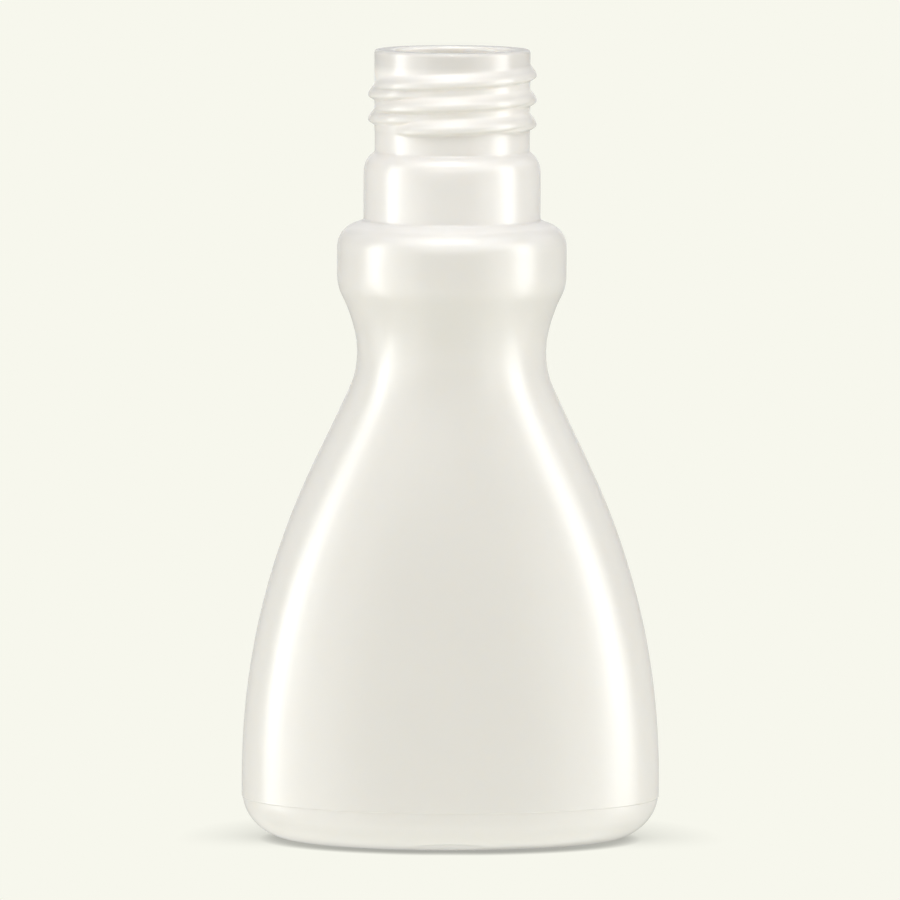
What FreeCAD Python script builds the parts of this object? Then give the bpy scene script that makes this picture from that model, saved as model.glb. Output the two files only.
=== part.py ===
import FreeCAD, Part
import math
import os
from FreeCAD import Vector

# One-piece blow-moulded bottle: oval flared body, waist, two round collars and a
# screw neck with an open mouth. Millimetres, +Z up, front face towards -Y, the wide
# axis of the oval along X. Origin: centre of the base, on the plane it stands on.

# ---- neck and mouth ---------------------------------------------------------
Z_RIM = 112.22           # sealing land at the top of the mouth
R_NECK_TOP = 10.950      # neck wall above and between the thread ridges (E / 2)
R_NECK_LOW = 10.900      # plain neck below the thread
Z_NECK_STEP = 101.24     # level where the one eases into the other
R_BORE = 8.25            # inside of the mouth, straight down through the neck
Z_BORE_LOW = 98.54       # foot of the straight bore
RIM_OUT_R = 0.42         # rounded outer edge of the rim
RIM_IN_R = 0.50          # rounded inner edge of the rim

# ---- screw thread -----------------------------------------------------------
R_THREAD = 11.835        # crest radius (T / 2)
PITCH = 3.175            # eight turns to the inch, right-handed
CREST_HALF = 0.305       # half width of the crest
FLANK_UP = 1.16          # axial length of the upper, gentler flank
FLANK_LOW = 0.52         # axial length of the lower, steeper flank
EMBED = 0.45             # how deep a ridge's root is sunk in the neck wall
# The two halves of the mould cut the ridges out of register, so there are two sets.
# Each ridge: the azimuths, counted from the front towards +X, where it rises out of
# the wall, stands full, starts to fade and is gone, and crest heights (azimuth, z).
def helix(z_front):
    return ((-180.0, z_front - PITCH / 2), (180.0, z_front + PITCH / 2))


RIDGES = (
    ("front_1", (-107.0, -40.0, 87.0, 133.0), helix(107.92)),
    ("front_2", (-107.0, -40.0, 62.0, 129.0), helix(104.745)),
    ("front_3", (-53.0, -28.0, 59.0, 121.0), helix(101.57)),
    ("back_1", (31.0, 73.0, 308.0, 344.0),
     ((36.0, 104.71), (90.0, 105.17), (180.0, 105.52), (270.0, 105.92), (344.0, 106.56))),
    ("back_2", (21.0, 63.0, 308.0, 344.0),
     ((26.0, 101.29), (90.0, 101.81), (180.0, 102.12), (270.0, 102.47), (344.0, 103.11))),
)

# ---- collars ----------------------------------------------------------------
R_COLLAR1, Z_COLLAR1_TOP = 12.46, 94.24
# shoulder from the neck out to the first collar (radius, height)
SHOULDER1 = ((10.900, 98.19), (10.930, 97.91), (11.070, 97.73), (11.253, 97.59),
             (11.588, 97.30), (11.922, 96.88), (12.193, 96.32), (12.351, 95.72),
             (12.432, 95.04), (12.460, 94.24))
R_COLLAR2 = 16.165
SHOULDER2_C = (12.715, 84.45)     # centre of the second shoulder's rounding
SHOULDER2_R = 3.45
LEDGE = math.radians(69)           # steepest tilt of the ledge that runs up to the cove
COVE_R = 0.50                    # cove between the first collar and that shoulder
Z_BODY_TOP = 81.24               # level where the oval body takes over

# ---- body: (height, half width along X, half depth along Y) -----------------
BODY = (
    (81.24, 16.165, 16.165), (80.64, 16.163, 16.163), (80.14, 16.145, 16.145),
    (79.64, 16.095, 16.095), (79.14, 16.010, 16.010), (78.64, 15.890, 15.885),
    (78.14, 15.715, 15.705), (77.64, 15.490, 15.475), (77.04, 15.195, 15.170),
    (76.34, 14.880, 14.840), (75.42, 14.525, 14.450), (74.00, 14.033, 13.870),
    (72.59, 13.665, 13.390), (71.17, 13.405, 12.990), (69.75, 13.320, 12.710),
    (68.34, 13.375, 12.540), (66.92, 13.590, 12.480), (65.50, 13.990, 12.500),
    (64.08, 14.580, 12.590), (62.66, 15.240, 12.730), (61.14, 15.945, 12.910),
    (58.64, 17.125, 13.250), (55.64, 18.585, 13.660), (52.64, 19.990, 14.040),
    (49.64, 21.320, 14.380), (46.64, 22.545, 14.670), (43.64, 23.665, 14.910),
    (40.64, 24.680, 15.110), (36.64, 25.872, 15.330), (32.64, 26.900, 15.500),
    (28.64, 27.755, 15.630), (24.64, 28.435, 15.740), (20.64, 28.960, 15.830),
    (16.64, 29.330, 15.900), (12.64, 29.545, 15.945), (9.64, 29.612, 15.965),
    (7.96, 29.616, 15.970),
)
# ---- rounded base edge ------------------------------------------------------
A_FOOT, B_FOOT = 29.614, 15.970  # half axes where the rounding begins
EDGE_V = 6.98                    # its height
EDGE_H_X, EDGE_H_Y = 8.20, 6.90  # how far it runs in under the ends, and the front and back
EDGE_POWER = 2.05                # a touch squarer than a quarter of an ellipse
Z_SEAM = 6.25                    # crease where the base insert meets the mould halves
SEAM_STEP = 0.07                 # the insert's side of the crease is set in
PUSH_UP = 0.9                    # height of the shallow dome in the base
LAND = 1.6                       # width of the ring that the bottle stands on
# registration dent low on the front of the base edge
DENT_AT = (0.0, -13.03, 0.917)
DENT_SIZE = (5.2, 0.42, 0.62)    # half length, half thickness across the wall, half height
DENT_TILT = 56.3                 # the slope there, degrees

# ---- wall -------------------------------------------------------------------
WALL = 1.0               # body and collars
FLOOR = 1.2              # base

os.makedirs("parts", exist_ok=True)


# ---------------------------------------------------------------- helpers ----
def oval_surface(stations):
    """An exact oval skin: every level is an ellipse, and the half axes follow one
    smooth curve through the stations (height, half width, half depth)."""
    curve = Part.BSplineCurve()
    curve.interpolate([Vector(a, b, z) for z, a, b in stations])
    poles_v = curve.getPoles()
    w = math.sqrt(0.5)
    ring = ((1, 0), (1, 1), (0, 1), (-1, 1), (-1, 0), (-1, -1), (0, -1), (1, -1), (1, 0))
    weights = (1, w, 1, w, 1, w, 1, w, 1)
    poles = [[Vector(p.x * cx, p.y * cy, p.z) for p in poles_v] for cx, cy in ring]
    wts = [[wt] * len(poles_v) for wt in weights]
    surface = Part.BSplineSurface()
    surface.buildFromPolesMultsKnots(
        poles, [3, 2, 2, 2, 3], curve.getMultiplicities(), [0, 1, 2, 3, 4],
        curve.getKnots(), False, False, 2, curve.Degree, wts)
    return surface


def closed_oval(stations):
    """Solid between the first and last station, with flat oval ends."""
    skin = oval_surface(stations).toShape()
    caps = []
    for z in (stations[0][0], stations[-1][0]):
        edges = [e for e in skin.Edges
                 if abs(e.BoundBox.ZMin - z) < 1e-5 and abs(e.BoundBox.ZMax - z) < 1e-5]
        caps.append(Part.Face(Part.Wire(Part.__sortEdges__(edges))))
    shell = Part.makeShell([skin] + caps)
    shell.sewShape()
    solid = Part.makeSolid(Part.Shell(shell.Faces))
    if solid.Volume < 0:
        solid.reverse()
    return solid


def foot_stations(a, b, rise, in_x, in_y, bottom, top=None, steps=16):
    """Stations down the rounded base edge, from its top, or from a level part way
    down it, to the flat of the base."""
    out = []
    start = 0.0
    if top is not None:
        s = (1 - (top - bottom) / rise) ** (EDGE_POWER / 2)
        start = math.asin(s)
    for i in range(steps + 1):
        t = start + (math.pi / 2 - start) * i / steps
        c = max(math.cos(t), 0.0) ** (2 / EDGE_POWER)
        s = math.sin(t) ** (2 / EDGE_POWER)
        out.append((bottom + rise * (1 - s), a - in_x * (1 - c), b - in_y * (1 - c)))
    out[-1] = (bottom, a - in_x, b - in_y)
    return out


def line(*pts):
    return [Part.LineSegment(Vector(x0, 0, z0), Vector(x1, 0, z1)).toShape()
            for (x0, z0), (x1, z1) in zip(pts, pts[1:])]


def arc(p0, pm, p1):
    return Part.Arc(Vector(p0[0], 0, p0[1]), Vector(pm[0], 0, pm[1]),
                    Vector(p1[0], 0, p1[1])).toShape()


def smooth(points, start, end):
    """A smooth curve through points (radius, height) with given end directions."""
    curve = Part.BSplineCurve()
    curve.interpolate(Points=[Vector(x, 0, z) for x, z in points],
                      InitialTangent=Vector(start[0], 0, start[1]),
                      FinalTangent=Vector(end[0], 0, end[1]))
    return curve.toShape()


def turned(edges):
    """Revolves a closed profile in the XZ plane about Z."""
    face = Part.Face(Part.Wire(Part.__sortEdges__(edges)))
    solid = face.revolve(Vector(0, 0, 0), Vector(0, 0, 1), 360)
    if solid.Volume < 0:
        solid.reverse()
    return solid


def shoulder2(offset):
    """Second collar's rounded shoulder and the cove above it, moved in by offset: the
    points (start, mid, end) of each arc, from the collar inwards and up. A straight
    ledge joins them."""
    cx, cz = SHOULDER2_C
    r, rf = SHOULDER2_R - offset, COVE_R + offset
    def on(c0, c1, rad, ang):
        return (c0 + rad * math.cos(ang), c1 + rad * math.sin(ang))
    fx = R_COLLAR1 + COVE_R
    ex, ez = on(cx, cz, SHOULDER2_R, LEDGE)
    fz = ez + (ex - fx) / math.tan(LEDGE) + COVE_R / math.sin(LEDGE)
    dome = (on(cx, cz, r, 0.0), on(cx, cz, r, LEDGE / 2), on(cx, cz, r, LEDGE))
    a0 = LEDGE + math.pi
    cove = (on(fx, fz, rf, a0), on(fx, fz, rf, (a0 + math.pi) / 2), on(fx, fz, rf, math.pi))
    return dome, cove


# ------------------------------------------------------------ outer surface --
dome, cove = shoulder2(0.0)
Z_COVE_TOP = cove[2][1]
outer_top = turned(
    line((0, Z_BODY_TOP), (R_COLLAR2, Z_BODY_TOP), dome[0])
    + [arc(*dome)] + line(dome[2], cove[0]) + [arc(*cove)]
    + line(cove[2], (R_COLLAR1, Z_COLLAR1_TOP))
    + [smooth(SHOULDER1[::-1], (0, 1), (0, 1))]
    + line((R_NECK_LOW, SHOULDER1[0][1]), (R_NECK_LOW, Z_NECK_STEP - 0.8),
           (R_NECK_TOP, Z_NECK_STEP), (R_NECK_TOP, Z_RIM - RIM_OUT_R))
    + [arc((R_NECK_TOP, Z_RIM - RIM_OUT_R),
           (R_NECK_TOP - RIM_OUT_R * (1 - math.sqrt(0.5)), Z_RIM - RIM_OUT_R * (1 - math.sqrt(0.5))),
           (R_NECK_TOP - RIM_OUT_R, Z_RIM))]
    + line((R_NECK_TOP - RIM_OUT_R, Z_RIM), (0, Z_RIM), (0, Z_BODY_TOP)))

foot = foot_stations(A_FOOT, B_FOOT, EDGE_V, EDGE_H_X, EDGE_H_Y, 0.0)
seam_a = [s for s in foot if s[0] > Z_SEAM + 0.05]
cut = foot_stations(A_FOOT, B_FOOT, EDGE_V, EDGE_H_X, EDGE_H_Y, 0.0, top=Z_SEAM)
wall_stations = list(BODY) + seam_a + [cut[0]]
foot_in = foot_stations(A_FOOT - SEAM_STEP, B_FOOT - SEAM_STEP, EDGE_V,
                        EDGE_H_X - SEAM_STEP, EDGE_H_Y - SEAM_STEP, 0.0, top=Z_SEAM)
outer = outer_top.fuse([closed_oval(wall_stations), closed_oval(foot_in)])

# ------------------------------------------------------------ thread ridges --
def crest_height(table, deg):
    """Smooth height of a ridge's crest at an azimuth (cubic through the table)."""
    pts = list(table)
    if len(pts) == 2:
        (d0, z0), (d1, z1) = pts
        return z0 + (z1 - z0) * (deg - d0) / (d1 - d0)
    slopes = []
    for i in range(len(pts)):
        lo, hi = max(i - 1, 0), min(i + 1, len(pts) - 1)
        slopes.append((pts[hi][1] - pts[lo][1]) / (pts[hi][0] - pts[lo][0]))
    for i in range(len(pts) - 1):
        d0, z0 = pts[i]
        d1, z1 = pts[i + 1]
        if deg <= d1 or i == len(pts) - 2:
            w = d1 - d0
            t = (deg - d0) / w
            return ((1 + 2 * t) * (1 - t) ** 2 * z0 + t * (1 - t) ** 2 * w * slopes[i]
                    + t * t * (3 - 2 * t) * z1 + t * t * (t - 1) * w * slopes[i + 1])


def ease(t):
    t = min(max(t, 0.0), 1.0)
    return t * t * (3 - 2 * t)


def ridge(limits, table):
    """A ridge lofted round the neck, with both ends fading into the wall."""
    d0, d1, d2, d3 = limits
    stops = []
    n0 = max(4, round((d1 - d0) / 9))
    n1 = max(3, round((d2 - d1) / 14))
    n2 = max(4, round((d3 - d2) / 9))
    stops += [d0 + (d1 - d0) * i / n0 for i in range(n0)]
    stops += [d1 + (d2 - d1) * i / n1 for i in range(n1)]
    stops += [d2 + (d3 - d2) * i / n2 for i in range(n2 + 1)]
    full = R_THREAD - R_NECK_TOP
    sections = []
    for d in stops:
        h = ease((d - d0) / (d1 - d0)) if d < d1 else ease((d3 - d) / (d3 - d2))
        tip = -0.10 + (full + 0.10) * h
        z = crest_height(table, d)
        root = R_NECK_TOP - EMBED
        crest = R_NECK_TOP + tip
        depth = crest - root
        nose = 0.10                      # rounding of the crest
        up = FLANK_UP / full * (depth - nose)
        low = FLANK_LOW / full * (depth - nose)
        pts = ((root, z - CREST_HALF - low), (crest - nose, z - CREST_HALF),
               (crest, z), (crest - nose, z + CREST_HALF), (root, z + CREST_HALF + up))
        s, c = math.sin(math.radians(d)), -math.cos(math.radians(d))
        p = [Vector(r * s, r * c, zz) for r, zz in pts]
        sections.append(Part.Wire([
            Part.LineSegment(p[0], p[1]).toShape(), Part.Arc(p[1], p[2], p[3]).toShape(),
            Part.LineSegment(p[3], p[4]).toShape(), Part.LineSegment(p[4], p[0]).toShape()]))
    solid = Part.makeLoft(sections, True, False)
    if solid.Volume < 0:
        solid.reverse()
    return solid


ridges = [ridge(limits, table) for _, limits, table in RIDGES]

# ------------------------------------------------------------ inside -------
dome_i, cove_i = shoulder2(WALL)
R_IN1_LOW = cove_i[2][0]
R_IN1_TOP = R_COLLAR1 - WALL
THROAT = ((R_IN1_TOP, 93.54), (R_IN1_TOP - 0.10, 94.39), (10.95, 95.24), (10.20, 96.09),
          (9.35, 96.84), (8.62, 97.59), (R_BORE, Z_BORE_LOW))
inner_top = turned(
    line((0, Z_BODY_TOP), (R_COLLAR2 - WALL, Z_BODY_TOP), dome_i[0])
    + [arc(*dome_i)] + line(dome_i[2], cove_i[0]) + [arc(*cove_i)]
    + line(cove_i[2], THROAT[0])
    + [smooth(THROAT, (0, 1), (0, 1))]
    + line(THROAT[-1], (R_BORE, Z_RIM - RIM_IN_R))
    + [arc((R_BORE, Z_RIM - RIM_IN_R),
           (R_BORE + RIM_IN_R * (1 - math.sqrt(0.5)), Z_RIM - RIM_IN_R * (1 - math.sqrt(0.5))),
           (R_BORE + RIM_IN_R, Z_RIM))]
    + line((R_BORE + RIM_IN_R, Z_RIM), (R_BORE + RIM_IN_R, Z_RIM + 2), (0, Z_RIM + 2),
           (0, Z_BODY_TOP)))


def inside(stations):
    """The same stations moved in by the wall, measured square to the surface."""
    out = []
    for i, (z, a, b) in enumerate(stations):
        lo, hi = stations[max(i - 1, 0)], stations[min(i + 1, len(stations) - 1)]
        dz = hi[0] - lo[0]
        ka, kb = (hi[1] - lo[1]) / dz, (hi[2] - lo[2]) / dz
        out.append((z, a - WALL * math.hypot(1, ka), b - WALL * math.hypot(1, kb)))
    out[0] = (stations[0][0], stations[0][1] - WALL, stations[0][2] - WALL)
    return out


foot_inner = foot_stations(A_FOOT - WALL, B_FOOT - WALL, EDGE_V - FLOOR + 0.35,
                           EDGE_H_X - 0.3, EDGE_H_Y - 0.5, FLOOR)
cavity = inner_top.fuse(closed_oval(inside(BODY) + foot_inner))

# the shallow dome pressed up in the base, and the same rise in the floor above it
A_DOME, B_DOME = A_FOOT - EDGE_H_X - LAND, B_FOOT - EDGE_H_Y - LAND
RISE = ((0.0, 1.0), (0.16, 0.985), (0.34, 0.955), (0.52, 0.905), (0.68, 0.82),
        (0.80, 0.69), (0.87, 0.50), (0.90, 0.25))


def base_dome(level, grow):
    return closed_oval([(level + PUSH_UP * h / RISE[-1][0], (A_DOME + grow) * s,
                         (B_DOME + grow) * s) for h, s in RISE])


cavity = cavity.cut(base_dome(FLOOR, 0.5).fuse(
    Part.makeBox(6, 6, 0.4, Vector(-3, -3, FLOOR - 0.4))))
under = base_dome(0.0, 0.0)

# registration dent
ball = Part.makeSphere(1.0)
stretch = FreeCAD.Matrix()
stretch.scale(DENT_SIZE[0], DENT_SIZE[1], DENT_SIZE[2])
dent = ball.transformGeometry(stretch)
dent.rotate(Vector(0, 0, 0), Vector(1, 0, 0), DENT_TILT)
dent.translate(Vector(*DENT_AT))

# ------------------------------------------------------------ assembly -----
bottle = outer.cut(cavity).cut(under).cut(dent)
for piece in ridges:
    bottle = bottle.fuse(piece)
if len(bottle.Solids) == 1:
    bottle = bottle.Solids[0]
bottle.exportStep("parts/bottle.step")

print("solids", len(bottle.Solids), "faces", len(bottle.Faces), "valid", bottle.isValid())
print("material cm3 %.3f" % (bottle.Volume / 1000))
print("brimful ml %.2f" % ((cavity.Volume - math.pi * (R_BORE + RIM_IN_R) ** 2 * 2) / 1000))
print("box", bottle.BoundBox)
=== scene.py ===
import math

import bpy
import numpy as np
from mathutils import Matrix, Vector


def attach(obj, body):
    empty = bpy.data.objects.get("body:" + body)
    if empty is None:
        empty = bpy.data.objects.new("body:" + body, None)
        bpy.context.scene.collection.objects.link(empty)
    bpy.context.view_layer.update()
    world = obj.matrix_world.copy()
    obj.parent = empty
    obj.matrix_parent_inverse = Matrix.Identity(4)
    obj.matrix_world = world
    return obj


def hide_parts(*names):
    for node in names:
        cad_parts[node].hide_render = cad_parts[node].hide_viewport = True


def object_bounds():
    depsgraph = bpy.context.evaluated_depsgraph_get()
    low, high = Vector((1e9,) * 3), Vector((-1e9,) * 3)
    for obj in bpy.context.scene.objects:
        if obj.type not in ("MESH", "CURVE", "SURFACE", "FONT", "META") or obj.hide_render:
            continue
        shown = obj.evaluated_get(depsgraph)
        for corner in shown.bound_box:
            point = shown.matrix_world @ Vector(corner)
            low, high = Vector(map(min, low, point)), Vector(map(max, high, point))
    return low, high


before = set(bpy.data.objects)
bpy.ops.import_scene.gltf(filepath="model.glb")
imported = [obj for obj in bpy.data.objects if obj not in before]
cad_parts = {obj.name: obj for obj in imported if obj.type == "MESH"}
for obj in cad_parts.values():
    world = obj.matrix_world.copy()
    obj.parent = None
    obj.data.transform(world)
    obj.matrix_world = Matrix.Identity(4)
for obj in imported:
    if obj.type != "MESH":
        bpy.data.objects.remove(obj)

cad_lo, cad_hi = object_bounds()

# ----------------------------------------------------------------------------
# The bottle, in millimetres from the middle of its base, as the CAD has it.
# ----------------------------------------------------------------------------
Z_RIM, R_NECK_TOP, R_NECK_LOW, Z_NECK_STEP = 112.22, 10.950, 10.900, 101.24
R_BORE, Z_BORE_LOW, RIM_OUT_R, RIM_IN_R = 8.25, 98.54, 0.42, 0.50
R_THREAD, PITCH = 11.835, 3.175
CREST_HALF, FLANK_UP, FLANK_LOW = 0.305, 1.16, 0.52
THREAD_ROOT, THREAD_NOSE, THREAD_JOIN = 0.165, 0.29, 0.10
SHOULDER1 = ((10.900, 98.19), (10.930, 97.91), (11.070, 97.73), (11.253, 97.59),
             (11.588, 97.30), (11.922, 96.88), (12.193, 96.32), (12.351, 95.72),
             (12.430, 95.04), (12.460, 94.24))
R_COLLAR1, R_COLLAR2 = 12.46, 16.165
SHOULDER2_C, SHOULDER2_R, COVE_R, Z_BODY_TOP = (12.715, 84.45), 3.45, 0.50, 81.24
LEDGE = math.radians(69)
BODY = (
    (81.24, 16.165, 16.165), (80.64, 16.163, 16.163), (80.14, 16.145, 16.145),
    (79.64, 16.095, 16.095), (79.14, 16.010, 16.010), (78.64, 15.890, 15.885),
    (78.14, 15.715, 15.705), (77.64, 15.490, 15.475), (77.04, 15.195, 15.170),
    (76.34, 14.880, 14.840), (75.42, 14.525, 14.450), (74.00, 14.033, 13.870),
    (72.59, 13.665, 13.390), (71.17, 13.405, 12.990), (69.75, 13.320, 12.710),
    (68.34, 13.375, 12.540), (66.92, 13.590, 12.480), (65.50, 13.990, 12.500),
    (64.08, 14.580, 12.590), (62.66, 15.240, 12.730), (61.14, 15.945, 12.910),
    (58.64, 17.125, 13.250), (55.64, 18.585, 13.660), (52.64, 19.990, 14.040),
    (49.64, 21.320, 14.380), (46.64, 22.545, 14.670), (43.64, 23.665, 14.910),
    (40.64, 24.680, 15.110), (36.64, 25.872, 15.330), (32.64, 26.900, 15.500),
    (28.64, 27.755, 15.630), (24.64, 28.435, 15.740), (20.64, 28.960, 15.830),
    (16.64, 29.330, 15.900), (12.64, 29.545, 15.945), (9.64, 29.612, 15.965),
    (7.96, 29.616, 15.970),
)
A_FOOT, B_FOOT = 29.614, 15.970
EDGE_V, EDGE_H_X, EDGE_H_Y, EDGE_POWER = 6.98, 8.20, 6.90, 2.05
Z_SEAM, SEAM_STEP, PUSH_UP, LAND = 6.25, 0.07, 0.9, 1.6
WALL, FLOOR = 1.0, 1.2


def helix(z_front):
    return ((-180.0, z_front - PITCH / 2), (180.0, z_front + PITCH / 2))


RIDGES = (
    ((-107.0, -40.0, 87.0, 133.0), helix(107.92)),
    ((-107.0, -40.0, 62.0, 129.0), helix(104.745)),
    ((-53.0, -28.0, 59.0, 121.0), helix(101.57)),
    ((31.0, 73.0, 308.0, 344.0),
     ((36.0, 104.71), (90.0, 105.17), (180.0, 105.52), (270.0, 105.92), (344.0, 106.56))),
    ((21.0, 63.0, 308.0, 344.0),
     ((26.0, 101.29), (90.0, 101.81), (180.0, 102.12), (270.0, 102.47), (344.0, 103.11))),
)


# ---------------------------------------------------------------- curves ----
def natural_spline(points, params):
    """Points on the smooth curve through points, at params from 0 to len(points)-1."""
    p = np.asarray(points, float)
    n = len(p)
    t = np.concatenate([[0.0], np.cumsum(np.linalg.norm(np.diff(p, axis=0), axis=1))])
    h = np.diff(t)
    m = np.zeros((n, n))
    r = np.zeros_like(p)
    m[0, 0] = m[-1, -1] = 1.0
    for i in range(1, n - 1):
        m[i, i - 1], m[i, i], m[i, i + 1] = h[i - 1], 2 * (h[i - 1] + h[i]), h[i]
        r[i] = 6 * ((p[i + 1] - p[i]) / h[i] - (p[i] - p[i - 1]) / h[i - 1])
    k = np.linalg.solve(m, r)
    out = []
    for u in params:
        i = min(int(u), n - 2)
        x = t[i] + (u - i) * h[i]
        a, b = (t[i + 1] - x) / h[i], (x - t[i]) / h[i]
        out.append(a * p[i] + b * p[i + 1]
                   + ((a ** 3 - a) * k[i] + (b ** 3 - b) * k[i + 1]) * h[i] ** 2 / 6)
    return np.array(out)


def along(points, step):
    """Rows on the smooth curve through points, about step apart."""
    p = np.asarray(points, float)
    params = [0.0]
    for i in range(len(p) - 1):
        n = max(1, int(round(np.linalg.norm(p[i + 1] - p[i]) / step)))
        params += [i + (j + 1) / n for j in range(n)]
    return natural_spline(p, params)


def arc(c, r, a0, a1, n):
    return [(c[0] + r * math.cos(a0 + (a1 - a0) * i / n),
             c[1] + r * math.sin(a0 + (a1 - a0) * i / n)) for i in range(n + 1)]


def span(z0, z1, step):
    n = max(1, int(round(abs(z1 - z0) / step)))
    return [z0 + (z1 - z0) * i / n for i in range(n + 1)]


def foot(a, b, rise, in_x, in_y, bottom, top, steps):
    """Rows up the rounded base edge, from the flat of the base."""
    start = math.asin((1 - (top - bottom) / rise) ** (EDGE_POWER / 2))
    out = []
    for i in range(steps + 1):
        t = math.pi / 2 + (start - math.pi / 2) * i / steps
        c = max(math.cos(t), 0.0) ** (2 / EDGE_POWER)
        s = math.sin(t) ** (2 / EDGE_POWER)
        out.append((bottom + rise * (1 - s), a - in_x * (1 - c), b - in_y * (1 - c)))
    return out


def shoulder2(offset, n_dome, n_cove):
    """The second collar's shoulder and the cove over it, upwards, as (radius, height)."""
    cx, cz = SHOULDER2_C
    fx = R_COLLAR1 + COVE_R
    ex, ez = cx + SHOULDER2_R * math.cos(LEDGE), cz + SHOULDER2_R * math.sin(LEDGE)
    fz = ez + (ex - fx) / math.tan(LEDGE) + COVE_R / math.sin(LEDGE)
    dome = arc((cx, cz), SHOULDER2_R - offset, 0.0, LEDGE, n_dome)
    cove = arc((fx, fz), COVE_R + offset, LEDGE + math.pi, math.pi, n_cove)
    (x0, z0), (x1, z1) = dome[-1], cove[0]
    return dome + [(x0 + (x1 - x0) * t, z0 + (z1 - z0) * t) for t in (0.25, 0.5, 0.75)] + cove


# ------------------------------------------------------------- the rows -----
# Each row is (height, half width along X, half depth along Y, kind)
rows = []


def add(items, kind="o"):
    for z, a, b in items:
        if rows and abs(rows[-1][0] - z) + abs(rows[-1][1] - a) + abs(rows[-1][2] - b) < 1e-6:
            continue
        rows.append((z, a, b, kind))


def add_round(items, kind="o"):
    add([(z, r, r) for r, z in items], kind)


# under the base: the shallow dome, with a soft edge, and the ring it stands on
A_IN, B_IN = A_FOOT - EDGE_H_X, B_FOOT - EDGE_H_Y
A_DOME, B_DOME = A_IN - LAND, B_IN - LAND
DOME = ((0.02, 0.900), (0.10, 0.899), (0.20, 0.893), (0.30, 0.880), (0.40, 0.860),
        (0.50, 0.830), (0.60, 0.780), (0.68, 0.722), (0.76, 0.640), (0.82, 0.550),
        (0.87, 0.450), (0.91, 0.345), (0.945, 0.235), (0.975, 0.120), (1.0, 0.035),
        (1.03, 0.004))
add([(PUSH_UP / 0.9 * h, A_DOME * s, B_DOME * s) for s, h in DOME], "u")
add([(0.0, A_DOME + 0.9, B_DOME + 0.9), (0.0, A_IN - 0.25, B_IN - 0.25)], "u")
# rounded base edge, up to the crease
edge = foot(A_FOOT - SEAM_STEP, B_FOOT - SEAM_STEP, EDGE_V, EDGE_H_X - SEAM_STEP,
            EDGE_H_Y - SEAM_STEP, 0.0, Z_SEAM, 36)
add(edge[:-1])
above = foot(A_FOOT, B_FOOT, EDGE_V, EDGE_H_X, EDGE_H_Y, 0.0, EDGE_V - 0.02, 400)
wall = [s for s in above if s[0] > Z_SEAM + 0.16]


def on_edge(z, inset):
    c = (1 - (1 - z / EDGE_V) ** EDGE_POWER) ** (1 / EDGE_POWER)
    return (z, A_FOOT - inset - (EDGE_H_X - inset) * (1 - c),
            B_FOOT - inset - (EDGE_H_Y - inset) * (1 - c))


for dz, inset in ((-0.16, 0.070), (-0.11, 0.068), (-0.07, 0.060), (-0.04, 0.044),
                  (-0.015, 0.022), (0.015, 0.000), (0.045, -0.014), (0.08, -0.018),
                  (0.12, -0.012), (0.17, -0.004), (0.23, 0.0)):
    add([on_edge(Z_SEAM + dz, inset)])
add([s for s in wall if s[0] > Z_SEAM + 0.3][::12])
body = along(BODY[::-1], 1.1)
add([(z, a, b) for z, a, b in body])
# second collar, its shoulder and cove, first collar and its shoulder
add_round([(R_COLLAR2, z) for z in span(Z_BODY_TOP, SHOULDER2_C[1], 0.7)])
add_round(shoulder2(0.0, 24, 12))
add_round([(R_COLLAR1, z) for z in span(rows[-1][0], SHOULDER1[-1][1], 0.6)])
add_round([tuple(p) for p in along(SHOULDER1[::-1], 0.18)])


# neck, with the thread's rows close together
def neck_radius(z):
    t = min(max((z - (Z_NECK_STEP - 0.8)) / 0.8, 0.0), 1.0)
    return R_NECK_LOW + (R_NECK_TOP - R_NECK_LOW) * t * t * (3 - 2 * t)


for z0, z1, step in ((98.30, 99.4, 0.25), (99.5, 110.15, 0.130), (110.3, Z_RIM - RIM_OUT_R, 0.25)):
    add_round([(neck_radius(z), z) for z in span(z0, z1, step)], "n")
c_out = (R_NECK_TOP - RIM_OUT_R, Z_RIM - RIM_OUT_R)
add_round(arc(c_out, RIM_OUT_R, 0.0, math.pi / 2, 10))
add_round([(r, Z_RIM) for r in np.linspace(c_out[0], R_BORE + RIM_IN_R, 5)])
c_in = (R_BORE + RIM_IN_R, Z_RIM - RIM_IN_R)
add_round(arc(c_in, RIM_IN_R, math.pi / 2, math.pi, 10))
outer_rows = len(rows)

# ---- inside, downwards ----
r_in1 = R_COLLAR1 - WALL
THROAT = ((r_in1, 93.54), (r_in1 - 0.10, 94.39), (10.95, 95.24), (10.20, 96.09),
          (9.35, 96.84), (8.62, 97.59), (R_BORE, Z_BORE_LOW))
add_round([(R_BORE, z) for z in span(Z_RIM - RIM_IN_R, Z_BORE_LOW, 1.5)], "i")
add_round([tuple(p) for p in along(THROAT[::-1], 0.6)], "i")
cove_i = shoulder2(WALL, 8, 6)
add_round([(r_in1, z) for z in span(THROAT[0][1], cove_i[-1][1], 1.2)], "i")
add_round(cove_i[::-1], "i")
inner = []
for i in range(0, len(BODY)):
    lo, hi = BODY[max(i - 1, 0)], BODY[min(i + 1, len(BODY) - 1)]
    dz = hi[0] - lo[0]
    inner.append((BODY[i][0], BODY[i][1] - WALL * math.hypot(1, (hi[1] - lo[1]) / dz),
                  BODY[i][2] - WALL * math.hypot(1, (hi[2] - lo[2]) / dz)))
inner[0] = (Z_BODY_TOP, R_COLLAR2 - WALL, R_COLLAR2 - WALL)
add([tuple(p) for p in along(inner, 3.0)], "i")
foot_in = foot(A_FOOT - WALL, B_FOOT - WALL, EDGE_V - FLOOR + 0.35, EDGE_H_X - 0.3,
               EDGE_H_Y - 0.5, FLOOR, FLOOR + EDGE_V - FLOOR + 0.30, 14)
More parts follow.
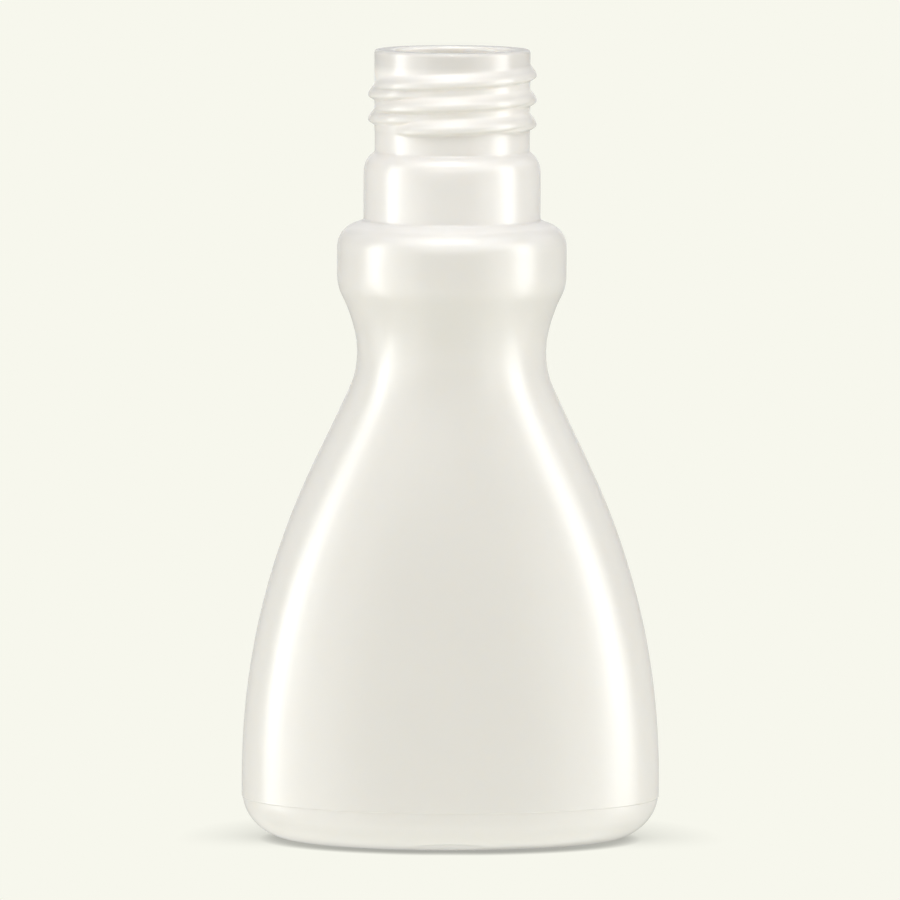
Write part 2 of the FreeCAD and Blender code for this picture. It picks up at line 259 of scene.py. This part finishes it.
add(foot_in[::-1], "i")
add([(FLOOR + PUSH_UP / 0.9 * h, (A_DOME + 0.5) * s, (B_DOME + 0.5) * s)
     for s, h in DOME[::-2]], "i")

# ------------------------------------------------------------ the surface ---
N = 224
table = np.array([r[:3] for r in rows])
kinds = [r[3] for r in rows]
az = np.linspace(0.0, 2 * math.pi, N, endpoint=False)       # from the front, towards +X
ux, uy = np.sin(az), -np.cos(az)
Z = np.repeat(table[:, :1], N, axis=1)
X = table[:, 1:2] * ux[None, :]
Y = table[:, 2:3] * uy[None, :]


def ease(t):
    t = np.clip(t, 0.0, 1.0)
    return t * t * (3 - 2 * t)


def smooth_max(a, b, k):
    h = np.clip(1 - np.abs(a - b) / k, 0.0, 1.0)
    return np.maximum(a, b) + h * h * k / 4


def smooth_min(a, b, k):
    return -smooth_max(-a, -b, k)


def crest_height(pts, deg):
    if len(pts) == 2:
        (d0, z0), (d1, z1) = pts
        return z0 + (z1 - z0) * (deg - d0) / (d1 - d0)
    d, z = np.array([p[0] for p in pts]), np.array([p[1] for p in pts])
    n = len(d)
    slope = np.array([(z[min(i + 1, n - 1)] - z[max(i - 1, 0)])
                      / (d[min(i + 1, n - 1)] - d[max(i - 1, 0)]) for i in range(n)])
    i = np.clip(np.searchsorted(d, deg) - 1, 0, n - 2)
    w = d[i + 1] - d[i]
    t = np.clip((deg - d[i]) / w, 0, 1)
    return ((1 + 2 * t) * (1 - t) ** 2 * z[i] + t * (1 - t) ** 2 * w * slope[i]
            + t * t * (3 - 2 * t) * z[i + 1] + t * t * (t - 1) * w * slope[i + 1])


def thread(deg, z):
    """How far the thread stands out of the neck wall at azimuth deg (0 to 360) and z."""
    full, root, nose = R_THREAD - R_NECK_TOP, THREAD_ROOT, THREAD_NOSE
    out = np.full(np.broadcast(deg, z).shape, -root)
    for (d0, d1, d2, d3), pts in RIDGES:
        d = np.where(deg > 180, deg - 360, deg) if d0 < 0 else deg
        lift = np.where(d < (d0 + d3) / 2, ease((d - d0) / (d1 - d0)), ease((d3 - d) / (d3 - d2)))
        off = z - crest_height(pts, np.clip(d, d0, d3))
        up = full - (off - CREST_HALF) * full / FLANK_UP
        low = full - (-off - CREST_HALF) * full / FLANK_LOW
        p = smooth_min(smooth_min(up, low, nose), full + 0.0 * off, nose)
        p = np.maximum(p - (1 - lift) * (full + root), -root)
        out = smooth_max(out, p, THREAD_JOIN)
    return smooth_max(out, 0.0 * out, root)


neck = np.array([i for i, k in enumerate(kinds) if k == "n"])
stand = thread(np.degrees(az)[None, :], table[neck, :1])
X[neck] = (table[neck, 1:2] + stand) * ux[None, :]
Y[neck] = (table[neck, 1:2] + stand) * uy[None, :]

# the shallow registration dent low on the front of the base edge
for i, k in enumerate(kinds):
    if k == "o" and 0.1 < table[i, 0] < 2.2:
        q = (X[i] / 5.2) ** 2 + ((table[i, 0] - 0.95) / 0.55) ** 2
        depth = 0.22 * np.clip(1 - q, 0, 1) * (Y[i] < 0)
        Y[i] += depth * 0.56
        Z[i] += depth * 0.83

origin = Vector(((cad_lo.x + cad_hi.x) / 2, (cad_lo.y + cad_hi.y) / 2, cad_lo.z))
verts = np.stack([X, Y, Z], axis=2).reshape(-1, 3) * 0.001 + np.array(origin)
M = len(rows)
under = verts.shape[0]
z_under = rows[0][0] * 0.001 + origin.z
z_floor = rows[-1][0] * 0.001 + origin.z
verts = np.vstack([verts, [[origin.x, origin.y, z_under], [origin.x, origin.y, z_floor]]])
faces = []
for i in range(M - 1):
    a, b = i * N, (i + 1) * N
    for j in range(N):
        k = (j + 1) % N
        faces.append((a + j, a + k, b + k, b + j))
for j in range(N):
    k = (j + 1) % N
    faces.append((under, k, j))
    faces.append((under + 1, (M - 1) * N + j, (M - 1) * N + k))
mesh = bpy.data.meshes.new("bottle_skin")
mesh.from_pydata([tuple(v) for v in verts], [], faces)
mesh.update()
for poly in mesh.polygons:
    poly.use_smooth = True
bottle = bpy.data.objects.new("bottle_skin", mesh)
bpy.context.scene.collection.objects.link(bottle)
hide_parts("bottle")
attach(bottle, "root")
print("rows", M, "outer", outer_rows, "triangles", 2 * N * (M - 1) + 2 * N)


# -------------------------------------------------------------- material ----
def material():
    m = bpy.data.materials.new("natural_polyethylene")
    m.use_nodes = True
    nt = m.node_tree
    nt.nodes.clear()
    new = nt.nodes.new
    out = new("ShaderNodeOutputMaterial")
    p = new("ShaderNodeBsdfPrincipled")
    nt.links.new(p.outputs["BSDF"], out.inputs["Surface"])
    coord = new("ShaderNodeTexCoord")
    # slow clouding of the milky plastic
    cloud = new("ShaderNodeTexNoise")
    cloud.inputs["Scale"].default_value = 38.0
    cloud.inputs["Detail"].default_value = 2.0
    cloud.inputs["Roughness"].default_value = 0.55
    nt.links.new(coord.outputs["Object"], cloud.inputs["Vector"])
    ramp = new("ShaderNodeValToRGB")
    ramp.color_ramp.elements[0].position = 0.30
    ramp.color_ramp.elements[0].color = (0.898, 0.875, 0.831, 1)
    ramp.color_ramp.elements[1].position = 0.72
    ramp.color_ramp.elements[1].color = (0.914, 0.891, 0.847, 1)
    nt.links.new(cloud.outputs["Fac"], ramp.inputs["Fac"])
    # painted light and shade by height: the neck round the thread is painted lighter than the collars below,
    # and the lip and top of the rim are painted darker as shade
    place = new("ShaderNodeSeparateXYZ")
    nt.links.new(coord.outputs["Object"], place.inputs[0])
    level = new("ShaderNodeMapRange")
    level.inputs["From Min"].default_value = origin.z + 0.084
    level.inputs["From Max"].default_value = origin.z + 0.114
    nt.links.new(place.outputs["Z"], level.inputs["Value"])
    painted_shade_by_height = new("ShaderNodeValToRGB")
    els = painted_shade_by_height.color_ramp.elements
    els[0].position, els[0].color = 0.0, (0.885, 0.885, 0.885, 1)
    els[1].position, els[1].color = 0.940, (0.680, 0.682, 0.687, 1)
    for at, v in ((0.133, 0.905), (0.560, 0.905), (0.590, 1.0), (0.837, 1.0), (0.873, 0.830), (0.928, 0.80)):
        e = els.new(at)
        e.color = (v, v, v * 1.01, 1)
    nt.links.new(level.outputs["Result"], painted_shade_by_height.inputs["Fac"])
    # the wall of the mouth is left out of the painted shade at the rim and painted a light 0.93 instead
    across = new("ShaderNodeVectorMath")
    across.operation = "MULTIPLY"
    across.inputs[1].default_value = (1, 1, 0)
    nt.links.new(coord.outputs["Object"], across.inputs[0])
    radius = new("ShaderNodeVectorMath")
    radius.operation = "LENGTH"
    nt.links.new(across.outputs[0], radius.inputs[0])
    outside = new("ShaderNodeMapRange")
    outside.inputs["From Min"].default_value = 0.0083
    outside.inputs["From Max"].default_value = 0.0089
    nt.links.new(radius.outputs["Value"], outside.inputs["Value"])
    # painted shade: the thread's ridges are painted greyer than the root they stand on
    ridge = new("ShaderNodeMapRange")
    ridge.inputs["From Min"].default_value = 0.0110
    ridge.inputs["From Max"].default_value = 0.0115
    nt.links.new(radius.outputs["Value"], ridge.inputs["Value"])
    above = new("ShaderNodeMapRange")
    above.inputs["From Min"].default_value = origin.z + 0.0975
    above.inputs["From Max"].default_value = origin.z + 0.0985
    nt.links.new(place.outputs["Z"], above.inputs["Value"])
    painted_ridge_shade_mask = new("ShaderNodeMath")
    painted_ridge_shade_mask.operation = "MULTIPLY"
    nt.links.new(ridge.outputs["Result"], painted_ridge_shade_mask.inputs[0])
    nt.links.new(above.outputs["Result"], painted_ridge_shade_mask.inputs[1])
    painted_ridge_shade = new("ShaderNodeMix")
    painted_ridge_shade.data_type = "RGBA"
    painted_ridge_shade.inputs[7].default_value = (0.850, 0.852, 0.858, 1)
    nt.links.new(painted_ridge_shade_mask.outputs[0], painted_ridge_shade.inputs[0])
    nt.links.new(painted_shade_by_height.outputs["Color"], painted_ridge_shade.inputs[6])
    both = new("ShaderNodeMix")
    both.data_type = "RGBA"
    both.inputs[6].default_value = (0.93, 0.93, 0.93, 1)
    nt.links.new(outside.outputs["Result"], both.inputs[0])
    nt.links.new(painted_ridge_shade.outputs[2], both.inputs[7])
    # painted light: below the crease the base edge is painted whiter, in place of the bright floor it
    # reflects
    low = new("ShaderNodeMapRange")
    low.inputs["From Min"].default_value = origin.z + Z_SEAM * 0.001 + 0.0001
    low.inputs["From Max"].default_value = origin.z + Z_SEAM * 0.001 - 0.0022
    nt.links.new(place.outputs["Z"], low.inputs["Value"])
    foot = new("ShaderNodeMix")
    foot.data_type = "RGBA"
    foot.inputs[7].default_value = (0.965, 0.943, 0.906, 1)
    nt.links.new(low.outputs["Result"], foot.inputs[0])
    nt.links.new(ramp.outputs["Color"], foot.inputs[6])
    whole = new("ShaderNodeMix")
    whole.data_type = "RGBA"
    whole.blend_type = "MULTIPLY"
    whole.inputs[0].default_value = 1.0
    nt.links.new(foot.outputs[2], whole.inputs[6])
    nt.links.new(both.outputs[2], whole.inputs[7])
    nt.links.new(whole.outputs[2], p.inputs["Base Color"])
    # roughness: a little duller in patches
    patch = new("ShaderNodeTexNoise")
    patch.inputs["Scale"].default_value = 60.0
    patch.inputs["Detail"].default_value = 2.0
    nt.links.new(coord.outputs["Object"], patch.inputs["Vector"])
    rough = new("ShaderNodeMapRange")
    rough.inputs["To Min"].default_value = 0.225
    rough.inputs["To Max"].default_value = 0.255
    nt.links.new(patch.outputs["Fac"], rough.inputs["Value"])
    nt.links.new(rough.outputs["Result"], p.inputs["Roughness"])
    # moulded surface: a faint grain from the sand-blasted mould
    grain = new("ShaderNodeTexNoise")
    grain.inputs["Scale"].default_value = 2600.0
    grain.inputs["Detail"].default_value = 2.0
    nt.links.new(coord.outputs["Object"], grain.inputs["Vector"])
    wave = new("ShaderNodeTexNoise")
    wave.inputs["Scale"].default_value = 90.0
    wave.inputs["Detail"].default_value = 2.0
    nt.links.new(coord.outputs["Object"], wave.inputs["Vector"])
    b1 = new("ShaderNodeBump")
    b1.inputs["Strength"].default_value = 0.10
    b1.inputs["Distance"].default_value = 0.00008
    nt.links.new(wave.outputs["Fac"], b1.inputs["Height"])
    b2 = new("ShaderNodeBump")
    b2.inputs["Strength"].default_value = 0.05
    b2.inputs["Distance"].default_value = 0.00002
    nt.links.new(grain.outputs["Fac"], b2.inputs["Height"])
    nt.links.new(b1.outputs["Normal"], b2.inputs["Normal"])
    nt.links.new(b2.outputs["Normal"], p.inputs["Normal"])
    p.inputs["Subsurface Weight"].default_value = 1.0
    p.inputs["Subsurface Radius"].default_value = (1.0, 0.95, 0.87)
    p.inputs["Subsurface Scale"].default_value = 0.0012
    p.inputs["IOR"].default_value = 1.51
    return m


bottle.data.materials.append(material())

# ------------------------------------------------------------------ stage ---
BACKDROP = (0.930, 0.930, 0.847)


def floor_material():
    """A lit table top as pale as the backdrop, that darkens close under the bottle."""
    m = bpy.data.materials.new("floor")
    m.use_nodes = True
    nt = m.node_tree
    nt.nodes.clear()
    new = nt.nodes.new
    out = new("ShaderNodeOutputMaterial")
    glow = new("ShaderNodeEmission")
    near = new("ShaderNodeAmbientOcclusion")
    near.samples = 12
    near.inputs["Distance"].default_value = 0.0017
    shade = new("ShaderNodeValToRGB")
    els = shade.color_ramp.elements
    els[0].position, els[0].color = 0.10, (0.42, 0.42, 0.42, 1)
    els[1].position, els[1].color = 0.90, (1, 1, 1, 1)
    e = els.new(0.45)
    e.color = (0.72, 0.72, 0.72, 1)
    nt.links.new(near.outputs["AO"], shade.inputs["Fac"])
    # the light comes from the front, so the wide soft shadow lies beside and behind
    wide = new("ShaderNodeAmbientOcclusion")
    wide.samples = 12
    wide.inputs["Distance"].default_value = 0.011
    place = new("ShaderNodeTexCoord")
    xyz = new("ShaderNodeSeparateXYZ")
    nt.links.new(place.outputs["Object"], xyz.inputs[0])
    behind = new("ShaderNodeMapRange")
    behind.interpolation_type = "SMOOTHSTEP"
    behind.inputs["From Min"].default_value = -0.010
    behind.inputs["From Max"].default_value = 0.003
    behind.inputs["To Min"].default_value = 0.0
    behind.inputs["To Max"].default_value = 0.38
    nt.links.new(xyz.outputs["Y"], behind.inputs["Value"])
    hidden = new("ShaderNodeMath")
    hidden.operation = "SUBTRACT"
    hidden.inputs[0].default_value = 1.0
    nt.links.new(wide.outputs["AO"], hidden.inputs[1])
    dim = new("ShaderNodeMath")
    dim.operation = "MULTIPLY"
    nt.links.new(hidden.outputs[0], dim.inputs[0])
    nt.links.new(behind.outputs["Result"], dim.inputs[1])
    left = new("ShaderNodeMath")
    left.operation = "SUBTRACT"
    left.inputs[0].default_value = 1.0
    nt.links.new(dim.outputs[0], left.inputs[1])
    both = new("ShaderNodeMath")
    both.operation = "MULTIPLY"
    lift = new("ShaderNodeMapRange")
    lift.interpolation_type = "SMOOTHSTEP"
    lift.inputs["From Min"].default_value = -0.0105
    lift.inputs["From Max"].default_value = 0.0
    lift.inputs["To Min"].default_value = 0.0
    lift.inputs["To Max"].default_value = 0.42
    nt.links.new(xyz.outputs["Y"], lift.inputs["Value"])
    softer = new("ShaderNodeMix")
    softer.data_type = "FLOAT"
    softer.inputs[3].default_value = 1.0
    nt.links.new(lift.outputs["Result"], softer.inputs[0])
    nt.links.new(shade.outputs["Color"], softer.inputs[2])
    nt.links.new(softer.outputs[0], both.inputs[0])
    nt.links.new(left.outputs[0], both.inputs[1])
    glow.inputs["Color"].default_value = BACKDROP + (1,)
    nt.links.new(both.outputs[0], glow.inputs["Strength"])
    clear = new("ShaderNodeBsdfTransparent")
    side = new("ShaderNodeNewGeometry")
    mix = new("ShaderNodeMixShader")
    nt.links.new(side.outputs["Backfacing"], mix.inputs["Fac"])
    nt.links.new(glow.outputs["Emission"], mix.inputs[1])
    nt.links.new(clear.outputs["BSDF"], mix.inputs[2])
    nt.links.new(mix.outputs["Shader"], out.inputs["Surface"])
    return m


def plain_floor():
    """The same pale glow, away from the bottle."""
    m = bpy.data.materials.new("floor_far")
    m.use_nodes = True
    nt = m.node_tree
    nt.nodes.clear()
    out = nt.nodes.new("ShaderNodeOutputMaterial")
    glow = nt.nodes.new("ShaderNodeEmission")
    glow.inputs["Color"].default_value = BACKDROP + (1,)
    clear = nt.nodes.new("ShaderNodeBsdfTransparent")
    side = nt.nodes.new("ShaderNodeNewGeometry")
    mix = nt.nodes.new("ShaderNodeMixShader")
    nt.links.new(side.outputs["Backfacing"], mix.inputs["Fac"])
    nt.links.new(glow.outputs["Emission"], mix.inputs[1])
    nt.links.new(clear.outputs["BSDF"], mix.inputs[2])
    nt.links.new(mix.outputs["Shader"], out.inputs["Surface"])
    return m


# a shaded patch round the bottle, in a plain sheet
NEAR, FAR = ((-0.044, -0.030), (0.044, 0.032)), ((-0.7, -0.7), (0.7, 0.7))
corners = []
for (x0, y0), (x1, y1) in (NEAR, FAR):
    corners += [(x0, y0, 0), (x1, y0, 0), (x1, y1, 0), (x0, y1, 0)]
floor_mesh = bpy.data.meshes.new("floor")
floor_mesh.from_pydata(corners, [], [(0, 1, 2, 3)] + [
    (k, k + 4, (k + 1) % 4 + 4, (k + 1) % 4) for k in range(4)])
floor_mesh.materials.append(floor_material())
floor_mesh.materials.append(plain_floor())
for k in range(1, 5):
    floor_mesh.polygons[k].material_index = 1
ground = bpy.data.objects.new("floor", floor_mesh)
ground.location = (origin.x, origin.y, origin.z)
bpy.context.scene.collection.objects.link(ground)
ground.visible_glossy = False

# ------------------------------------------------------------------ light ---
# A white tent with a tall strip at each side. Brightness by elevation (rows) and by
# azimuth from the camera, degrees towards +X. Mirror-like light, then soft light.
GLOSS = (
    (-90, ((0, 2),)),
    (-56, ((0, 2),)),
    (-48, ((-174, 1.16), (-116, 1.16), (-104.72, 1.41), (-91.28, 1.41), (-80, 2.84),
         (-68, 2.36), (-56.06, 2.68), (-40.94, 2.68), (-29, 1.39), (29, 1.37), (40.94, 2.58),
         (56.06, 2.58), (80, 3.14), (91.28, 1.57), (104.72, 1.57), (116, 0.644), (174, 0.644))),
    (-34, ((-174, 1.16), (-116, 1.16), (-104.72, 1.41), (-91.28, 1.41), (-80, 2.84),
         (-68, 2.36), (-56.06, 2.68), (-40.94, 2.68), (-29, 1.39), (29, 1.37), (40.94, 2.58),
         (56.06, 2.58), (80, 3.14), (91.28, 1.57), (104.72, 1.57), (116, 0.644), (174, 0.644))),
    (-22.5, ((-174, 0.478), (-116, 0.478), (-104.72, 2.43), (-91.28, 2.43), (-80, 8.1),
         (-68, 3.51), (-56.06, 3.06), (-40.94, 3.06), (-29, 2.27), (-6, 2.27), (6, 2.01),
         (29, 2.01), (40.94, 2.83), (56.06, 2.83), (68, 3.52), (80, 7.67), (91.28, 1.91),
         (104.72, 1.91), (116, 0.316), (174, 0.316))),
    (-9.5, ((-174, 0.38), (-116, 0.38), (-106.04, 1.25), (-95.96, 1.25), (-89, 6.62),
         (-83, 7.19), (-77, 6.15), (-71, 3.82), (-65, 4.58), (-56.06, 3.19), (-40.94, 3.19),
         (-29, 0.88), (-6, 0.88), (6, 0.456), (29, 0.456), (40.94, 2.61), (56.06, 2.61),
         (65, 5.13), (71, 6.06), (77, 5.77), (89, 4.58), (95.96, 0.694), (106.04, 0.694),
         (116, 0.38), (174, 0.38))),
    (1.5, ((-175.6, 0.65), (-164.4, 0.65), (-154, 0.08), (-98, 0.149), (-89, 9.89),
         (-84, 10.7), (-80, 11.1), (-76, 7.75), (-72, 4.07), (-68, 2.67), (-63, 4.2),
         (-54.5, 1.51), (-40.5, 1.51), (-29, 0.576), (-6, 0.576), (6, 0.957), (29, 0.957),
         (40.5, 2.14), (54.5, 2.14), (63, 3.7), (68, 5.21), (72, 8.65), (76, 10.8), (80, 11.2),
         (84, 7.46), (89, 3.94), (98, 0), (154, 0.08), (164.4, 0.65), (175.6, 0.65))),
    (13, ((-175.6, 0.5), (-164.4, 0.5), (-154, 0), (-98, 0), (-89, 5.62), (-84, 7.9),
         (-80, 9.13), (-76, 7.28), (-72, 3.99), (-68, 1.86), (-63, 2.12), (-54.5, 1.38),
         (-40.5, 1.38), (-29, 1.71), (-6, 1.71), (6, 0.293), (54.5, 0.189), (63, 2.08),
         (68, 4.14), (72, 7.57), (76, 9.55), (80, 9.2), (84, 6.21), (89, 3.11), (98, 0),
         (154, 0), (164.4, 0.5), (175.6, 0.5))),
    (26, ((-175.6, 0.8), (-164.4, 0.8), (-154, 0.0632), (-98, 0), (-89, 1.53), (-84, 4.06),
         (-80, 5.39), (-76, 4.74), (-72, 3.04), (-68, 1.97), (-63, 2.32), (-54.5, 0.995),
         (-40.5, 0.995), (-29, 3.31), (54.5, 3.3), (63, 4.07), (68, 4.69), (72, 6.5),
         (76, 7.58), (80, 7.03), (84, 4.92), (89, 3.31), (98, 0.858), (124, 0.858),
         (136, 0.101), (154, 0.101), (164.4, 0.8), (175.6, 0.8))),
    (33.5, ((-175.6, 0.8), (-164.4, 0.8), (-154, 0.0632), (-98, 0), (-89, 1.53), (-84, 4.06),
         (-80, 5.39), (-76, 4.74), (-72, 3.04), (-68, 1.97), (-63, 2.32), (-54.5, 0.995),
         (-40.5, 0.995), (-29, 3.31), (54.5, 3.3), (63, 4.07), (68, 4.69), (72, 6.5),
         (76, 7.58), (80, 7.03), (84, 4.92), (89, 3.31), (98, 0.858), (124, 0.858),
         (136, 0.101), (154, 0.101), (164.4, 0.8), (175.6, 0.8))),
    (37.5, ((-174, 0.272), (-146, 0.272), (-134, 0), (-71, 0.0555), (-59, 3.02), (-41, 3.02),
         (-29, 2.52), (-6, 2.52), (6, 1.99), (29, 1.99), (41, 4.17), (59, 4.17), (71, 0.0804),
         (94, 0.0804), (106, 0.363), (134, 0.363), (146, 0.144), (174, 0.144))),
    (41, ((-174, 0.272), (-146, 0.272), (-134, 0), (-71, 0.0555), (-59, 3.02), (-41, 3.02),
         (-29, 2.52), (-6, 2.52), (6, 1.99), (29, 1.99), (41, 4.17), (59, 4.17), (71, 0.0804),
         (94, 0.0804), (106, 0.363), (134, 0.363), (146, 0.144), (174, 0.144))),
    (48, ((-174, 0), (-146, 0), (-134, 0.347), (-106, 0.347), (-94, 1.44), (-71, 1.44),
         (-59, 3.76), (-41, 3.76), (-29, 5.38), (-6, 5.38), (6, 4.98), (29, 4.98), (41, 3.77),
         (59, 3.77), (71, 1.24), (94, 1.24), (106, 0.145), (134, 0.145), (146, 0), (174, 0))),
    (56, ((-174, 0), (-106, 0), (-94, 1.95), (-71, 1.95), (-59, 4.04), (-41, 4.04),
         (-29, 7.84), (-6, 7.84), (6, 6.96), (29, 6.96), (41, 3.23), (59, 3.23), (71, 2.57),
         (94, 2.57), (106, 0), (174, 0))),
    (63.5, ((-174, 0), (-106, 0), (-94, 2.19), (-71, 2.19), (-59, 3.93), (-41, 3.93),
         (-29, 8.16), (-6, 8.16), (6, 7.24), (29, 7.24), (41, 2.78), (94, 2.7), (106, 0.182),
         (134, 0.182), (146, 0), (174, 0))),
    (70.5, ((-174, 0), (-106, 0), (-94, 2.55), (-71, 2.55), (-59, 4.1), (-41, 4.1),
         (-29, 8.16), (-6, 8.16), (6, 7.24), (29, 7.24), (41, 2.77), (59, 2.77), (71, 2.16),
         (94, 2.16), (106, 0), (174, 0))),
    (77, ((-174, 0), (-106, 0), (-94, 2.66), (-71, 2.66), (-59, 4.2), (-41, 4.2), (-29, 8.27),
         (-6, 8.27), (6, 7.33), (29, 7.33), (41, 2.98), (59, 2.98), (71, 1.81), (94, 1.81),
         (106, 0), (174, 0))),
    (82, ((0, 2.06),)),
    (90, ((0, 2.06),)),
)
SOFT = (
    (-90, ((0, 0.93),)),
    (-1, ((0, 0.93),)),
    (1, ((-170, 1.14), (-154, 1.14), (-146, 0), (-114, 0), (-106, 1.41), (-74, 1.41),
         (-66, 1.95), (-44, 1.95), (-36, 0.0594), (36, 0.0594), (44, 1.95), (66, 1.95),
         (74, 1.41), (106, 1.41), (114, 0), (146, 0), (154, 1.14), (170, 1.14))),
    (33, ((-170, 1.14), (-154, 1.14), (-146, 0), (-114, 0), (-106, 1.41), (-74, 1.41),
         (-66, 1.95), (-44, 1.95), (-36, 0.0594), (36, 0.0594), (44, 1.95), (66, 1.95),
         (74, 1.41), (106, 1.41), (114, 0), (146, 0), (154, 1.14), (170, 1.14))),
    (37, ((-150, 1.09), (-124, 1.09), (-116, 2.36), (-64, 2.36), (-56, 1.83), (56, 1.83),
         (64, 2.36), (116, 2.36), (124, 1.09), (150, 1.09))),
    (63, ((-150, 1.09), (-124, 1.09), (-116, 2.36), (-64, 2.36), (-56, 1.83), (56, 1.83),
         (64, 2.36), (116, 2.36), (124, 1.09), (150, 1.09))),
    (67, ((0, 0),)),
    (90, ((0, 0),)),
)


def light_map(nt, angle, height, rows):
    """Brightness interpolated between the rows of a table, and within each row."""
    total = None
    for i, (el, stops) in enumerate(rows):
        band = nt.nodes.new("ShaderNodeValToRGB")
        els = band.color_ramp.elements
        at = lambda e: (e + 90.0) / 180.0
        marks = [(at(el), 1.0)]
        if i > 0:
            marks.insert(0, (at(rows[i - 1][0]), 0.0))
        if i < len(rows) - 1:
            marks.append((at(rows[i + 1][0]), 0.0))
        fill_ramp(els, marks)
        nt.links.new(height, band.inputs["Fac"])
        around = nt.nodes.new("ShaderNodeValToRGB")
        top = max(max(v for _, v in stops), 1e-6)
        fill_ramp(around.color_ramp.elements, [((a + 180.0) / 360.0, v / top) for a, v in stops])
        nt.links.new(angle, around.inputs["Fac"])
        part = nt.nodes.new("ShaderNodeMath")
        part.operation = "MULTIPLY"
        nt.links.new(band.outputs["Color"], part.inputs[0])
        nt.links.new(around.outputs["Color"], part.inputs[1])
        add_up = nt.nodes.new("ShaderNodeMath")
        add_up.operation = "MULTIPLY_ADD"
        nt.links.new(part.outputs[0], add_up.inputs[0])
        add_up.inputs[1].default_value = top
        if total is not None:
            nt.links.new(total, add_up.inputs[2])
        else:
            add_up.inputs[2].default_value = 0.0
        total = add_up.outputs[0]
    return total


def fill_ramp(els, marks):
    while len(els) > 1:
        els.remove(els[-1])
    els[0].position, els[0].color = marks[0][0], (marks[0][1],) * 3 + (1,)
    for at, v in marks[1:]:
        e = els.new(at)
        e.color = (v, v, v, 1)


def math_node(nt, op, a, b=None):
    n = nt.nodes.new("ShaderNodeMath")
    n.operation = op
    for k, v in enumerate((a, b)):
        if v is None:
            continue
        if isinstance(v, (int, float)):
            n.inputs[k].default_value = v
        else:
            nt.links.new(v, n.inputs[k])
    return n.outputs[0]


world = bpy.data.worlds.new("studio")
bpy.context.scene.world = world
world.use_nodes = True
wn = world.node_tree
wn.nodes.clear()
w_out = wn.nodes.new("ShaderNodeOutputWorld")
coord = wn.nodes.new("ShaderNodeTexCoord")
split = wn.nodes.new("ShaderNodeSeparateXYZ")
wn.links.new(coord.outputs["Generated"], split.inputs[0])
wx, wy, wz = split.outputs
turn = math_node(wn, "ARCTAN2", wx, math_node(wn, "MULTIPLY", wy, -1.0))
angle = math_node(wn, "MULTIPLY_ADD", turn, 0.5 / math.pi)
angle.node.inputs[2].default_value = 0.5
lift_w = math_node(wn, "ARCSINE", wz)
height = math_node(wn, "MULTIPLY_ADD", lift_w, 1.0 / math.pi)
height.node.inputs[2].default_value = 0.5
gloss_bg = wn.nodes.new("ShaderNodeBackground")
gloss_bg.inputs["Color"].default_value = (1.0, 0.998, 0.985, 1)
wn.links.new(light_map(wn, angle, height, GLOSS), gloss_bg.inputs["Strength"])
soft_bg = wn.nodes.new("ShaderNodeBackground")
soft_bg.inputs["Color"].default_value = (1.0, 1.0, 1.0, 1)
wn.links.new(light_map(wn, angle, height, SOFT), soft_bg.inputs["Strength"])
back_bg = wn.nodes.new("ShaderNodeBackground")
back_bg.inputs["Color"].default_value = BACKDROP + (1,)
path = wn.nodes.new("ShaderNodeLightPath")
mix_1 = wn.nodes.new("ShaderNodeMixShader")
wn.links.new(path.outputs["Is Glossy Ray"], mix_1.inputs["Fac"])
wn.links.new(soft_bg.outputs["Background"], mix_1.inputs[1])
wn.links.new(gloss_bg.outputs["Background"], mix_1.inputs[2])
mix_2 = wn.nodes.new("ShaderNodeMixShader")
wn.links.new(path.outputs["Is Camera Ray"], mix_2.inputs["Fac"])
wn.links.new(mix_1.outputs["Shader"], mix_2.inputs[1])
wn.links.new(back_bg.outputs["Background"], mix_2.inputs[2])
wn.links.new(mix_2.outputs["Shader"], w_out.inputs["Surface"])
world.cycles.sampling_method = "NONE"

# ----------------------------------------------------------------- camera ---
cam_data = bpy.data.cameras.new("camera")
cam_data.lens = 279.42
cam_data.sensor_width = 36.0
cam_data.clip_start, cam_data.clip_end = 0.05, 20.0
cam = bpy.data.objects.new("camera", cam_data)
bpy.context.scene.collection.objects.link(cam)
PITCH_DOWN, ROLL = 0.114988, math.radians(0.17)
cam.matrix_world = (Matrix.Translation(origin + Vector((-0.000185, -0.980, 0.168826)))
                    @ Matrix.Rotation(math.pi / 2 - PITCH_DOWN, 4, "X")
                    @ Matrix.Rotation(ROLL, 4, "Z"))
bpy.context.scene.camera = cam
bpy.context.scene.view_settings.view_transform = "Standard"
bpy.context.scene.view_settings.look = "None"
